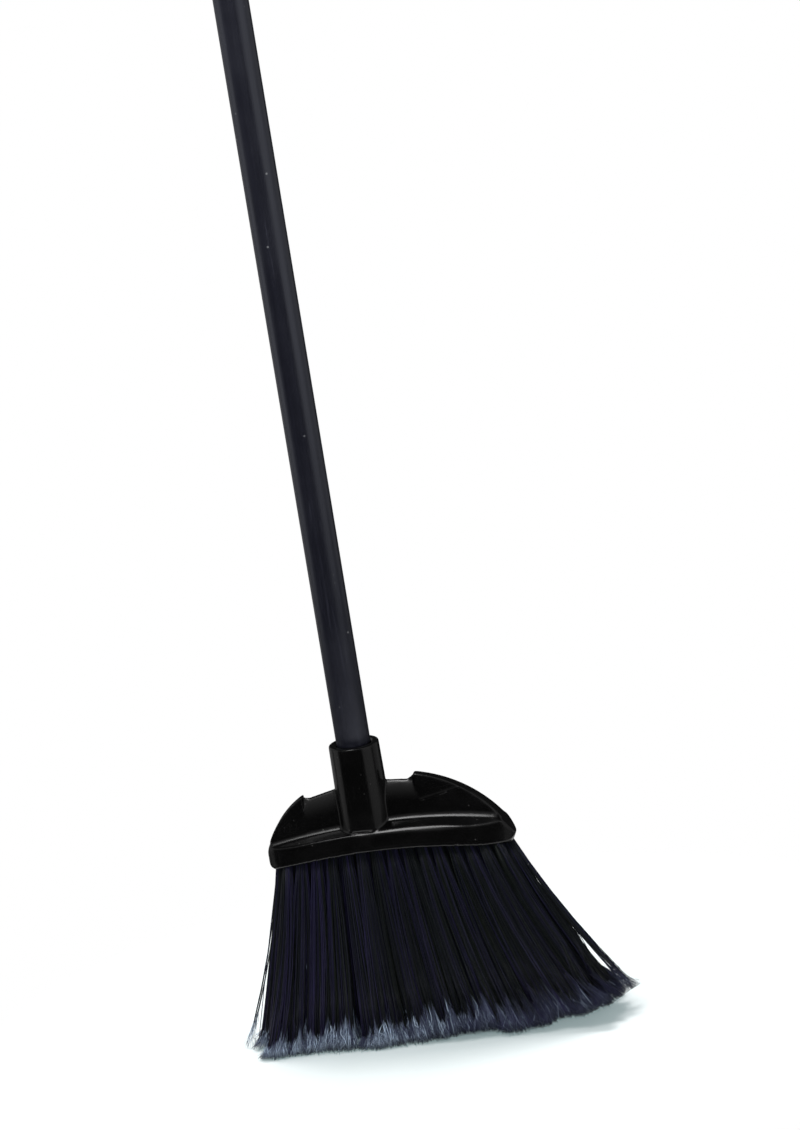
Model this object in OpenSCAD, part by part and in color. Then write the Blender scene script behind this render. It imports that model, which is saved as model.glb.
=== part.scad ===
// Lobby broom: a threaded steel handle in a vinyl sleeve, screwed into a moulded cap
// that snaps over a block of flared, angle-drilled bristle tufts.
// Millimetres. X runs along the cap, -Y faces the user's front, +Z runs up the handle.
// The origin is the point of the floor under the handle's axis.

/* [Handle] */
// Height of the whole broom, from the floor to the top of the hanger tip
overall_h = 889; // [700:1:1200]
// Outside diameter of the steel tube
tube_od = 22.2; // [21:0.1:24]
// Wall of the steel tube
tube_wall = 1; // [0.8:0.1:1.4]
// Thickness of the vinyl sleeve
sleeve_wall = 0.4; // [0.3:0.05:0.8]
// Height of the hanger tip's head above the tube
tip_head_h = 22; // [19:0.5:30]
// Length of the hanger tip's spigot inside the tube
tip_spigot_l = 25; // [12:1:40]
// Diameter of the hang hole
hang_hole_d = 8; // [5:0.5:9]
// Distance from the top of the hanger tip down to the axis of the hang hole
hang_hole_drop = 10.5; // [9:0.5:13]

/* [Thread ferrule] */
// Diameter over the thread
thread_d = 19; // [15:0.5:20]
// Length of the threaded stub
thread_l = 19; // [14:0.5:22]
// Step from the handle's surface in to the ferrule's collar
collar_step = 0.2; // [0.1:0.05:0.6]
// Length of the ferrule's spigot inside the tube
ferrule_spigot_l = 22; // [12:1:40]

/* [Socket] */
// Height of the socket's rim above the cap's lower edge
socket_h = 71.5; // [68:0.5:85]
// Depth of the plain bore that takes the ferrule's collar
socket_depth = 32; // [26:0.5:34]
// Wall of the socket at its rim
socket_wall = 5.5; // [4:0.1:6.5]
// Growth of the socket's radius from its rim down to its foot
socket_draft = 0.8; // [0.4:0.1:2]
// Width of the chamfer round the mouth of the socket
mouth_chamfer = 1.4; // [1.2:0.1:2]
// Drop of the handle's lower end into the chamfer
mouth_drop = 0.5; // [0.2:0.1:0.6]
// Radius of the rounded rim
rim_round = 1.2; // [0.6:0.1:1.8]

/* [Cap] */
// Reach of the short wing, to the left of the handle's axis
cap_left = 69.5; // [64:0.5:76]
// Reach of the long wing, to the right of the handle's axis
cap_right = 99.4; // [92:0.2:108]
// Radius of the arch of the cap's lower edge and shoulder
arch_r = 400; // [300:5:700]
// Height of the crown above the lower edge, on the handle's axis
crown_h = 45.3; // [41:0.1:50]
// Radius of the crown over the short wing
left_crown_r = 63; // [58:0.5:72]
// Radius of the crown over the long wing
right_crown_r = 87; // [80:0.5:98]
// Height of the short wing's blunt end above the lower edge
left_end_h = 10.4; // [7:0.1:13]
// Height of the long wing's blunt end above the lower edge
right_end_h = 5.4; // [3:0.1:9]
// Thickness of the wings, front to back
wing_t = 14; // [12:0.5:18]
// Wall of the hollow wings
wing_wall = 2.6; // [1.8:0.1:3.2]
// Distance from the handle's axis to the step of the short wing
left_step = 40.2; // [36:0.1:44]
// Distance from the handle's axis to the step of the long wing
right_step = 36.7; // [32:0.1:44]
// Thickness of the recessed web between the socket and the steps
web_t = 9; // [7:0.5:11]
// Drop of the web's top edge below the crown, on the handle's axis
web_drop = 0.3; // [0.1:0.1:3]
// Drop of the web's top edge below the crown, at the left step
left_notch = 1.4; // [0.6:0.1:4]
// Drop of the web's top edge below the crown, at the right step
right_notch = 3.8; // [1.5:0.1:7]
// Run of the slanted end of each notch
notch_run = 4.5; // [2:0.1:7]
// Length of the tilted facet on the long wing, measured from the step
facet_l = 31.5; // [22:0.5:40]
// Height of the facet's lower corner above the lower edge
facet_z = 28; // [25:0.5:34]
// Rise of the crease below the facet, over the facet's length
facet_rise = 6.4; // [3:0.1:9]
// Backward tilt of the facet, in degrees
facet_tilt = 8; // [3:0.5:12]

/* [Skirt] */
// Depth of the skirt, front to back
skirt_d = 37; // [35:0.5:44]
// Height of the skirt, from its lower edge to the shoulder line
band_h = 19.8; // [17:0.1:23]
// Climb of the shoulder above the arch, at the long wing's end
shoulder_climb = 2.5; // [0:0.1:7]
// Fall of the shoulder below the arch, at the short wing's end
shoulder_fall = 2; // [0:0.1:2.4]
// Distance from the handle's axis to where the shoulder lies on the arch
shoulder_x = 27; // [15:1:40]
// Wall of the skirt
skirt_wall = 2.4; // [1.8:0.1:3]
// Radius of the lower corners at both ends
corner_r = 5; // [2:0.5:8]
// Height of the cavity that holds the tuft block
cavity_h = 12.6; // [11:0.1:14]
// Height of the snap lip round the mouth of the cavity
snap_h = 1.6; // [1:0.1:2.4]
// Reach of the snap lip under the tuft block
snap_reach = 0.7; // [0.4:0.1:1]

/* [Bristles] */
// Height of the cap's lower edge above the floor, at the top of its arch
bristle_h = 134; // [100:0.5:170]
// Tufts in the middle row, one more than in the front and back rows
middle_tufts = 16; // [12:1:16]
// Distance between two tufts of a row at the root
tuft_pitch = 10.1; // [9.6:0.1:10.3]
// Distance between two rows at the root
row_pitch = 8; // [7.6:0.1:8.4]
// Diameter of the drilled tuft holes
hole_d = 6; // [5.4:0.1:6.4]
// Depth of the tuft holes
hole_depth = 8.6; // [8:0.1:8.8]
// Reach of the foot to the left of the handle's axis, at the middle of the last tuft
foot_left = 91.5; // [80:0.5:105]
// Reach of the foot to the right of the handle's axis, at the middle of the last tuft
foot_right = 155; // [135:0.5:170]
// Distance between two rows at the floor
foot_row_pitch = 20; // [17:0.5:24]
// Rise of the foot at its far right end
foot_rise = 12; // [0:0.5:30]
// Length of the stretch over which the foot rises
rise_run = 105; // [30:1:120]
// Strands in the ring round the middle strand of each tuft
ring_strands = 7; // [6:1:8]
// Half thickness of a strand at the root
strand_root_r = 0.85; // [0.6:0.05:0.95]
// Half thickness of a strand at the floor
strand_tip_r = 1.6; // [0.8:0.1:1.9]

/* [Anchors] */
// Length of the flat wire anchor across each tuft's fold
anchor_l = 6.8; // [6.6:0.1:7.4]
// Thickness of the anchor wire
anchor_t = 0.5; // [0.3:0.1:0.8]
// Height of the anchor wire
anchor_h = 2.2; // [1.5:0.1:3]

/* [Fits] */
// Radial clearance of the ferrule's collar and thread in the socket
socket_clear = 0.06; // [0.02:0.01:0.1]
// Gap between the ferrule's collar and the floor of the socket
seat_gap = 0.3; // [0.2:0.05:0.6]
// Radial clearance of the spigots and the sleeve on the tube
tube_clear = 0.02; // [0.01:0.01:0.05]
// Clearance of the block in its cavity and of the tufts in their holes
block_clear = 0.1; // [0.05:0.05:0.2]
// Clearance round each anchor
anchor_clear = 0.05; // [0.02:0.01:0.1]

/* [Hidden] */
$fn = 96;
ROWS = ["front", "middle", "back"];
function row_count(row) = row == 1 ? middle_tufts : middle_tufts - 1;
function tuft_name(row, i) = str("tuft_", ROWS[row], "_", i + 1);
// Reach of a cut past the faces that it cuts
over = 1;

// Heights above the floor
edge_z = bristle_h;
rim_z = edge_z + socket_h;
seat_z = rim_z - socket_depth;
collar_z = seat_z + seat_gap;
tube_z = rim_z - mouth_drop;
tube_top_z = overall_h - tip_head_h;
crown_z = edge_z + crown_h;
hang_hole_z = overall_h - hang_hole_drop;

// Diameters of the handle and of what it fits
handle_od = tube_od + 2 * sleeve_wall;
tube_id = tube_od - 2 * tube_wall;
collar_r = handle_od / 2 - collar_step;
socket_r = collar_r + socket_clear;
thread_bore_r = thread_d / 2 + socket_clear;
thread_end_gap = 2;
thread_bore_z = seat_z - thread_l - thread_end_gap;
thread_lead = 2;
spigot_lead = 1.5;
tip_round = 7;

// Plan and arch of the skirt
cap_mid = (cap_right - cap_left) / 2;
cap_half = (cap_right + cap_left) / 2;
plan_power = 3.2;
plan_points = 48;
end_share = 0.997;
stations = 20;
wing_root = 3;
wing_share = 0.8;
// Front half of the skirt's section: share of the depth outside the wing, share of the height
band_section = [
    [1, 0], [1, 0.1], [0.96, 0.14], [0.935, 0.5], [0.9, 0.61], [0.83, 0.68],
    [0.69, 0.725], [0.35, 0.81], [0.14, 0.885], [0.05, 0.93], [0.02, 1]
];
// Share of the skirt's height above which the section follows the shoulder's climb
climb_share = 0.7;
section_n = len(band_section);
ring_n = 2 * section_n;

// Tufts
fold_len = hole_depth - block_clear;
plug_d = hole_d - 2 * block_clear;
plug_proud = 0.6;
block_recess = snap_h + block_clear;
strand_start = 2.5;
strand_inset = 0.3;
ring_root_r = plug_d / 2 - strand_root_r - strand_inset;
ring_tip_x = 6.8;
ring_tip_y = 7.4;
ring_turn = 25;
waist = 0.45;
rise_power = 1.6;
root_span = (middle_tufts - 1) * tuft_pitch;
drill_reach = 4;

// Height at x of the arch whose top is at height top
function arch_z(x, top) = top - arch_r + sqrt(arch_r * arch_r - (x - cap_mid) * (x - cap_mid));
// Half depth at x of the skirt's plan, a superellipse
function half_depth(x) =
    skirt_d / 2 * pow(1 - pow(abs(x - cap_mid) / cap_half, plan_power), 1 / plan_power);
// Centre of the circle of radius r through p and q, on the lower side of the two
function arc_centre(p, q, r) =
    let (d = q - p, l = norm(d), side = q[0] < p[0] ? -1 : 1)
    (p + q) / 2 + side * sqrt(r * r - l * l / 4) * [d[1], -d[0]] / l;
// Height at x of the upper half of a circle
function circle_z(centre, r, x) = centre[1] + sqrt(r * r - (x - centre[0]) * (x - centre[0]));

crown_top = [0, crown_z];
left_centre = arc_centre(crown_top, [-cap_left, arch_z(-cap_left, edge_z) + left_end_h], left_crown_r);
right_centre = arc_centre(crown_top, [cap_right, arch_z(cap_right, edge_z) + right_end_h], right_crown_r);
left_step_z = circle_z(left_centre, left_crown_r, -left_step);
right_step_z = circle_z(right_centre, right_crown_r, right_step);

// An outline in X and Z, given a depth that is centred on the handle's axis
module upright(depth) {
    rotate([90, 0, 0])
        linear_extrude(height = depth, center = true)
            children();
}

// The disc below the arch whose top is at height top
module arch_disc(top) {
    translate([cap_mid, top - arch_r])
        circle(r = arch_r, $fn = 360);
}

// Front outline of both wings, drawn in by inset
module crown_outline(inset) {
    intersection() {
        translate(left_centre)
            circle(r = left_crown_r - inset);
        translate([inset - cap_left, 0])
            square([cap_left - inset, rim_z]);
    }
    intersection() {
        translate(right_centre)
            circle(r = right_crown_r - inset);
        square([cap_right - inset, rim_z]);
    }
}

// Plan of the skirt, drawn in by inset
module skirt_plan(inset) {
    polygon([
        for (k = [0:plan_points - 1])
            let (t = 360 * k / plan_points)
            [cap_mid + (cap_half - inset) * sign(cos(t)) * pow(abs(cos(t)), 2 / plan_power),
             (skirt_d / 2 - inset) * sign(sin(t)) * pow(abs(sin(t)), 2 / plan_power)]
    ]);
}

// A prism on the skirt's plan, between two arches and under the crown
module arched_prism(inset, low, high) {
    intersection() {
        linear_extrude(height = rim_z)
            skirt_plan(inset);
        upright(2 * skirt_d)
            intersection() {
                crown_outline(inset);
                difference() {
                    arch_disc(high);
                    arch_disc(low);
                }
            }
    }
}

// Height at x of the shoulder above the arch
function shoulder_lift(x) =
    x > shoulder_x ? shoulder_climb * (x - shoulder_x) / (cap_right - shoulder_x)
                   : shoulder_fall * (x - shoulder_x) / (cap_left + shoulder_x);

// One ring of the skirt at x: up the front and down the back
function band_ring(x) =
    let (h = half_depth(x), w = min(wing_t / 2, wing_share * h),
         inwards = corner_r - min(corner_r, cap_half - abs(x - cap_mid)),
         lift = corner_r - sqrt(corner_r * corner_r - inwards * inwards),
         low = arch_z(x, edge_z) + lift, rise = band_h - lift, climb = shoulder_lift(x) / (1 - climb_share),
         front = [for (p = band_section)
             [w + (h - w) * p[0], low + rise * p[1] + climb * max(0, p[1] - climb_share)]])
    concat([for (p = front) [x, -p[0], p[1]]],
           [for (k = [section_n - 1:-1:0]) [x, front[k][0], front[k][1]]]);

// The rounded skirt, lofted along the cap
module skirt_band() {
    rings = [for (i = [0:stations]) band_ring(cap_mid + cap_half * end_share * sin(180 * i / stations - 90))];
    points = [for (ring = rings) each ring];
    last = stations * ring_n;
    sides = [
        for (i = [0:stations - 1]) for (j = [0:ring_n - 1])
            let (a = i * ring_n + j, b = i * ring_n + (j + 1) % ring_n)
            each [[a, b, b + ring_n], [a, b + ring_n, a + ring_n]]
    ];
    ends = [
        for (j = [0:section_n - 2])
            let (k = ring_n - 1 - j)
            each [[j, k, k - 1], [j, k - 1, j + 1],
                  [last + j, last + k - 1, last + k], [last + j, last + j + 1, last + k - 1]]
    ];
    polyhedron(points = points, faces = concat(sides, ends));
}

// The outer panels of both wings, with the tilted facet on the long one
module wing_panels() {
    crease = [right_step, -wing_t / 2, edge_z + facet_z];
    difference() {
        upright(wing_t)
            difference() {
                crown_outline(0);
                arch_disc(edge_z + band_h - wing_root);
                translate([-left_step, 0])
                    square([left_step + right_step, rim_z]);
            }
        translate(crease)
            rotate([0, -atan2(facet_rise, facet_l), 0])
                rotate([-facet_tilt, 0, 0])
                    translate([-right_step, -wing_t, 0])
                        cube([2 * cap_right, wing_t, crown_z]);
    }
}

// The recessed web between the socket and the steps, with a notch on each side
module wing_web() {
    upright(web_t)
        difference() {
            polygon([
                [-left_step, edge_z], [-left_step, left_step_z],
                [notch_run - left_step, left_step_z - left_notch], [0, crown_z - web_drop],
                [right_step - notch_run, right_step_z - right_notch], [right_step, right_step_z],
                [right_step, edge_z]
            ]);
            arch_disc(edge_z + band_h - wing_root);
        }
}

// The hollows of the two wings, open to the block's cavity below
module wing_hollows() {
    upright(wing_t - 2 * wing_wall)
        difference() {
            crown_outline(wing_wall);
            arch_disc(edge_z + cavity_h - wing_root);
            translate([-left_step - wing_wall, 0])
                square([left_step + right_step + 2 * wing_wall, rim_z]);
        }
}

// The drafted outside of the socket, down to the skirt
module socket_outside() {
    top_r = socket_r + socket_wall;
    low_z = edge_z + cavity_h + over;
    rotate_extrude() {
        polygon([
            [0, low_z], [top_r + socket_draft, low_z], [top_r, rim_z - rim_round],
            [top_r - rim_round, rim_z], [0, rim_z]
        ]);
        translate([top_r - rim_round, rim_z - rim_round])
            circle(r = rim_round, $fn = 32);
    }
}

// The stepped bore of the socket
module socket_bore() {
    rotate_extrude()
        polygon([
            [0, thread_bore_z], [thread_bore_r, thread_bore_z], [thread_bore_r, seat_z],
            [socket_r, seat_z], [socket_r, rim_z - mouth_chamfer], [socket_r + mouth_chamfer, rim_z],
            [socket_r + mouth_chamfer, rim_z + over], [0, rim_z + over]
        ]);
}

// Where a tuft's axis leaves the block, and where it ends
function root_x(row, i) = cap_mid - root_span / 2 + tuft_pitch * (i + (row == 1 ? 0 : 0.5));
function root_point(row, i) =
    let (x = root_x(row, i)) [x, (row - 1) * row_pitch, arch_z(x, edge_z + block_recess)];
function foot_x(x) = (foot_right - foot_left) / 2 + (x - cap_mid) * (foot_right + foot_left) / root_span;
function foot_z(x) = foot_rise * pow(max(0, (x - foot_right + rise_run) / rise_run), rise_power);
function tip_point(row, i) =
    let (x = foot_x(root_x(row, i))) [x, (row - 1) * foot_row_pitch, foot_z(x)];
function tuft_axis(row, i) =
    let (v = root_point(row, i) - tip_point(row, i)) v / norm(v);

// Moves its children to a tuft's root, with Z along the tuft's axis into the block
module at_root(row, i) {
    v = tuft_axis(row, i);
    translate(root_point(row, i))
        rotate([-asin(v[1]), atan2(v[0], v[2]), 0])
            children();
}

module each_tuft() {
    for (row = [0:2])
        for (i = [0:row_count(row) - 1])
            at_root(row, i)
                children();
}

module anchor_strip(clear) {
    translate([-anchor_l / 2 - clear, -anchor_t / 2 - clear, fold_len - anchor_h - clear])
        cube([anchor_l + 2 * clear, anchor_t + 2 * clear, anchor_h + 2 * clear]);
}

// One strand through three level, four-sided rings
module strand(start, middle, tip) {
    centres = [start, middle, tip];
    radii = [strand_root_r, (strand_root_r + strand_tip_r) / 2, strand_tip_r];
    points = [for (k = [0:2]) for (a = [45:90:315]) centres[k] + radii[k] * [cos(a), sin(a), 0]];
    sides = [
        for (k = [0:1]) for (j = [0:3])
            let (a = 4 * k + j, b = 4 * k + (j + 1) % 4)
            each [[a, b, b + 4], [a, b + 4, a + 4]]
    ];
    polyhedron(points = points, faces = concat([[0, 2, 1], [0, 3, 2], [8, 9, 10], [8, 10, 11]], sides));
}

// The strands of a tuft: one in the middle and a ring round it, flat at the floor
module tuft_strands(row, i) {
    root = root_point(row, i) + strand_start * tuft_axis(row, i);
    tip = tip_point(row, i);
    for (k = [0:ring_strands]) {
        turn = 360 * k / ring_strands + ring_turn * i;
        spread = k == 0 ? 0 : 1;
        start = root + spread * ring_root_r * [cos(turn), sin(turn), 0];
        reach = tip + spread * [ring_tip_x * cos(turn), ring_tip_y * sin(turn), 0];
        end = [reach[0], reach[1], foot_z(reach[0])];
        side = waist * (end - start);
        strand(start, [start[0] + side[0], start[1] + side[1], (start[2] + end[2]) / 2], end);
    }
}

module handle_tube() {
    color("silver")
        translate([0, 0, tube_z])
            difference() {
                cylinder(d = tube_od, h = tube_top_z - tube_z);
                translate([0, 0, -over])
                    cylinder(d = tube_id, h = tube_top_z - tube_z + 2 * over);
            }
}

module vinyl_sleeve() {
    color("#23252e")
        translate([0, 0, tube_z])
            difference() {
                cylinder(d = handle_od, h = tube_top_z - tube_z);
                translate([0, 0, -over])
                    cylinder(d = tube_od + 2 * tube_clear, h = tube_top_z - tube_z + 2 * over);
            }
}

module hanger_tip() {
    spigot_r = tube_id / 2 - tube_clear;
    head_r = collar_r;
    color("#151518")
        difference() {
            rotate_extrude() {
                polygon([
                    [0, tube_top_z - tip_spigot_l], [spigot_r - spigot_lead, tube_top_z - tip_spigot_l],
                    [spigot_r, tube_top_z - tip_spigot_l + spigot_lead], [spigot_r, tube_top_z],
                    [head_r, tube_top_z], [head_r, overall_h - tip_round],
                    [head_r - tip_round, overall_h], [0, overall_h]
                ]);
                intersection() {
                    translate([head_r - tip_round, overall_h - tip_round])
                        circle(r = tip_round);
                    translate([0, tube_top_z])
                        square([head_r, tip_head_h]);
                }
            }
            translate([0, 0, hang_hole_z])
                rotate([90, 0, 0])
                    cylinder(d = hang_hole_d, h = 2 * handle_od, center = true);
        }
}

module thread_ferrule() {
    spigot_r = tube_id / 2 - tube_clear;
    stub_r = thread_d / 2;
    low_z = collar_z - thread_l;
    color("#1a1a1d")
        rotate_extrude()
            polygon([
                [0, low_z], [stub_r - thread_lead, low_z], [stub_r, low_z + thread_lead], [stub_r, collar_z],
                [collar_r, collar_z], [collar_r, tube_z], [spigot_r, tube_z],
                [spigot_r, tube_z + ferrule_spigot_l - spigot_lead],
                [spigot_r - spigot_lead, tube_z + ferrule_spigot_l], [0, tube_z + ferrule_spigot_l]
            ]);
}

module head_cap() {
    color("#0c0c0e")
        difference() {
            union() {
                intersection() {
                    skirt_band();
                    upright(2 * skirt_d)
                        crown_outline(0);
                }
                wing_panels();
                wing_web();
                socket_outside();
            }
            arched_prism(skirt_wall, edge_z + snap_h, edge_z + cavity_h);
            arched_prism(skirt_wall + snap_reach, edge_z - band_h, edge_z + snap_h + over);
            wing_hollows();
            socket_bore();
        }
}

module tuft_block() {
    color("#1c1c1f")
        difference() {
            arched_prism(skirt_wall + block_clear, edge_z + block_recess, edge_z + cavity_h - block_clear);
            each_tuft() {
                translate([0, 0, -drill_reach])
                    cylinder(d = hole_d, h = hole_depth + drill_reach, $fn = 32);
            }
            each_tuft()
                anchor_strip(anchor_clear);
        }
}

module tuft_anchors() {
    color("goldenrod")
        each_tuft()
            anchor_strip(0);
}

module tuft(row, i) {
    color("#1a1830")
        union() {
            at_root(row, i)
                difference() {
                    translate([0, 0, -plug_proud])
                        cylinder(d = plug_d, h = fold_len + plug_proud, $fn = 32);
                    anchor_strip(anchor_clear);
                }
            tuft_strands(row, i);
        }
}

handle_tube();
vinyl_sleeve();
hanger_tip();
thread_ferrule();
head_cap();
tuft_block();
tuft_anchors();
for (row = [0:2])
    for (i = [0:row_count(row) - 1])
        tuft(row, i);
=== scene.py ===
"""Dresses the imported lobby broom: a glossy moulded cap, a vinyl-covered handle and flagged bristles.

The file is laid out as an add-on and is run as a script. All lengths are in metres, in the frame of the solids:
X runs along the cap, -Y is the front, +Z runs up the handle, and the floor is at zero.
"""

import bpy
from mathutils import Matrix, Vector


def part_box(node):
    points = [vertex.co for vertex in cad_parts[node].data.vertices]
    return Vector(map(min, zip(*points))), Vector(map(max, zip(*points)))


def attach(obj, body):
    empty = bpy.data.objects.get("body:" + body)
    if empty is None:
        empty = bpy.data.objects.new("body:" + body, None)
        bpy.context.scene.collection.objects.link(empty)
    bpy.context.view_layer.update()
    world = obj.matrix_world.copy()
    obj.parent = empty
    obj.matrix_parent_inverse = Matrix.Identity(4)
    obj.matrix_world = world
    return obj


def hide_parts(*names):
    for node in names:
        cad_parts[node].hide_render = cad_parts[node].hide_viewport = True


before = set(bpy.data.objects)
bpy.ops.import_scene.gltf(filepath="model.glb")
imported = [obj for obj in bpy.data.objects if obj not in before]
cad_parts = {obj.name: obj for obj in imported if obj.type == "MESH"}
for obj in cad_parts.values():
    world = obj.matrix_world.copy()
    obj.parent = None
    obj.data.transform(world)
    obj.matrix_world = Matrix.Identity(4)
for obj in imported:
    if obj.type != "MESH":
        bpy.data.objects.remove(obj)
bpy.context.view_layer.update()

import math
from functools import cache
from types import SimpleNamespace

import bmesh
import bpy
import numpy as np
from bpy.props import FloatProperty, FloatVectorProperty, IntProperty, PointerProperty
from mathutils import Matrix, Vector

bl_info = {
    "name": "Lobby Broom",
    "version": (1, 0, 0),
    "blender": (4, 5, 0),
    "location": "View3D > Sidebar > Broom",
    "description": "Builds the cap, handle, bristles and studio of a lobby broom on its solids",
    "category": "Add Mesh",
}

MM = 0.001
ROWS = ("front", "middle", "back")
MIDDLE = ROWS.index("middle")
CAP_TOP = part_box("head_cap")[1].z
SLEEVE_LOW, SLEEVE_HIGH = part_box("vinyl_sleeve")
TIP_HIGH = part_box("hanger_tip")[1]


def length(name, description, default):
    return FloatProperty(name=name, description=description, default=default, unit="LENGTH", precision=4)


def angle(name, description, degrees):
    return FloatProperty(name=name, description=description, default=math.radians(degrees), subtype="ANGLE")


def colour(name, description, default):
    return FloatVectorProperty(name=name, description=description, default=default, subtype="COLOR", min=0, max=1)


def share(name, description, default):
    return FloatProperty(name=name, description=description, default=default, subtype="FACTOR", min=0, max=1)


def plain(name, description, default):
    return FloatProperty(name=name, description=description, default=default)


class BroomCapSizes(bpy.types.PropertyGroup):
    """Sizes and finish of the moulded cap."""

    left: length("Left Reach", "Reach of the short wing from the handle's axis", 69.5 * MM)
    right: length("Right Reach", "Reach of the long wing from the handle's axis", 99.4 * MM)
    rim_z: length("Rim Height", "Height of the socket's rim above the floor", CAP_TOP)
    edge_z: length("Edge Height", "Height of the lower edge at the top of its arch", CAP_TOP - 71.5 * MM)
    arch_r: length("Arch Radius", "Radius of the arch of the lower edge", 400 * MM)
    crown_h: length("Crown Height", "Height of the crown above the edge, on the axis", 45.3 * MM)
    left_crown_r: length("Left Crown Radius", "Radius of the crown over the short wing", 63 * MM)
    right_crown_r: length("Right Crown Radius", "Radius of the crown over the long wing", 87 * MM)
    left_end_h: length("Left End Height", "Height of the short wing's blunt end", 10.4 * MM)
    right_end_h: length("Right End Height", "Height of the long wing's blunt end", 7.6 * MM)
    wing_t: length("Wing Thickness", "Thickness of the wings, front to back", 14 * MM)
    web_t: length("Web Thickness", "Thickness of the web beside the socket, at its foot", 13.6 * MM)
    left_step: length("Left Step", "Distance from the axis to the step of the short wing", 40.2 * MM)
    right_step: length("Right Step", "Distance from the axis to the step of the long wing", 36.7 * MM)
    skirt_d: length("Skirt Depth", "Depth of the skirt, front to back", 37 * MM)
    skirt_wall: length("Skirt Wall", "Wall of the skirt round the tuft block", 2.4 * MM)
    band_h: length("Skirt Height", "Height of the skirt up to the shoulder", 19.8 * MM)
    cavity_h: length("Cavity Height", "Height of the cavity of the tuft block", 12.6 * MM)
    corner_r: length("Corner Radius", "Radius of the lower corners of the skirt", 5 * MM)
    socket_r: length("Socket Radius", "Outer radius of the socket at its rim", 16.86 * MM)
    socket_draft: length("Socket Draft", "Growth of the socket's radius down to its foot", 0.8 * MM)
    bore_r: length("Bore Radius", "Radius of the socket's bore", 11.5 * MM)
    voxel: length("Fillet Grid", "Grid that melts the moulded shapes into one skin", 0.66 * MM)
    black: colour("Plastic Colour", "Colour of the moulded plastic", (0.0020, 0.0020, 0.0021))
    gloss: share("Plastic Roughness", "Roughness of the moulded plastic", 0.17)


class BroomHandleSizes(bpy.types.PropertyGroup):
    """Sizes and finish of the handle."""

    radius: length("Handle Radius", "Radius over the vinyl sleeve", SLEEVE_HIGH.x)
    low_z: length("Sleeve Start", "Height of the sleeve's lower end", SLEEVE_LOW.z)
    high_z: length("Sleeve End", "Height of the sleeve's upper end", SLEEVE_HIGH.z)
    sleeve_t: length("Sleeve Thickness", "Thickness of the vinyl", 0.38 * MM)
    tip_r: length("Tip Radius", "Radius of the hanger tip's head", TIP_HIGH.x)
    top_z: length("Tip Top", "Height of the top of the hanger tip", TIP_HIGH.z)
    tip_round: length("Tip Rounding", "Rounding of the hanger tip's top", 7 * MM)
    hole_r: length("Hang Hole Radius", "Radius of the hang hole", 4 * MM)
    hole_drop: length("Hang Hole Drop", "Distance from the top to the hang hole", 10.5 * MM)
    vinyl: colour("Vinyl Colour", "Colour of the vinyl sleeve", (0.0076, 0.0080, 0.0150))
    # Paler tone that the handle takes towards its top and in cloudy patches
    vinyl_light: colour("Vinyl Pale Tone", "Paler tone towards the top and in cloudy patches", (0.0150, 0.0156, 0.0252))


class BroomBristleSizes(bpy.types.PropertyGroup):
    """Sizes, counts and colours of the bristles."""

    middle_tufts: IntProperty(name="Middle Tufts", description="Tufts in the middle row", default=16)
    filaments: IntProperty(name="Filaments", description="Filaments in each tuft", default=225, max=400)
    pitch: length("Tuft Pitch", "Distance between two tufts at the root", 10.1 * MM)
    row_pitch: length("Row Pitch", "Distance between two rows at the root", 8 * MM)
    recess: length("Block Recess", "Height of the block's face above the lower edge", 1.7 * MM)
    foot_left: length("Left Foot", "Reach of the foot to the left", 91.5 * MM)
    foot_right: length("Right Foot", "Reach of the foot to the right", 155 * MM)
    end_inset: length("End Inset", "How far the end tufts on the right stand in", 2.5 * MM)
    foot_row_pitch: length("Foot Row Pitch", "Distance between two rows at the floor", 20 * MM)
    foot_rise: length("Foot Rise", "Rise of the foot at its far right end", 17 * MM)
    rise_run: length("Rise Run", "Length over which the foot rises", 105 * MM)
    foot_cell: length("Foot Cell", "Width of the floor that a tuft covers", 17.5 * MM)
    root_r: length("Root Radius", "Radius of a tuft at its root", 3.1 * MM)
    thickness: length("Filament Thickness", "Half thickness of a filament", 0.30 * MM)
    flag_min: length("Shortest Flag", "Least length of a split tip", 6.5 * MM)
    flag_max: length("Longest Flag", "Greatest length of a split tip", 24 * MM)
    dark: colour("Fibre Colour", "Colour of the fibres", (0.0080, 0.0112, 0.0080))
    violet: colour("Fibre Tint", "Violet tone of some fibres", (0.0225, 0.0190, 0.0640))
    pale: colour("Flag Colour", "Colour of the split tips", (0.044, 0.054, 0.098))
    # Also the colour of the painted glints on the fibres
    bright: colour("Bleached Colour", "Colour of the palest split tips", (0.56, 0.70, 0.88))
    # Painted shade and soil: darkens the tips' lower edge, where their underside falls in shade
    shade_and_soil: colour("Shade And Soil Colour", "Colour of the shaded and soiled lower edge", (0.010, 0.015, 0.015))


class BroomStageSizes(bpy.types.PropertyGroup):
    """Camera, light and floor of the picture."""

    turn: angle("Camera Turn", "Turn of the camera towards +X", 10.8)
    lift: angle("Camera Lift", "Height of the camera above the horizon", 14.0)
    roll: angle("Camera Roll", "Tilt of the picture", -9.16)
    distance: length("Camera Distance", "Distance from the aim to the camera", 3.006)
    aim: FloatVectorProperty(name="Camera Aim", description="Point in the middle of the picture",
                             default=(0.0503, 0.0, 0.3228), subtype="TRANSLATION")
    lens: plain("Lens", "Focal length in millimetres for a sensor as tall as 36", 145.7)
    floor_r: length("Floor Radius", "Radius of the floor, which fades out towards it", 0.38)
    floor: colour("Floor Colour", "Colour of the floor", (0.85, 0.85, 0.85))
    glow: colour("Floor Glow", "What the white room adds to the floor", (0.165, 0.235, 0.24))
    ambient: plain("Ambient", "Strength of the even light of the room", 0.16)


# Modelling steps

def deselect():
    if bpy.context.mode != "OBJECT":
        leave()
    bpy.ops.object.select_all(action="DESELECT")


def activate(piece):
    deselect()
    piece.select_set(True)
    bpy.context.view_layer.objects.active = piece


def edit(piece):
    activate(piece)
    bpy.ops.object.mode_set(mode="EDIT")


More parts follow.
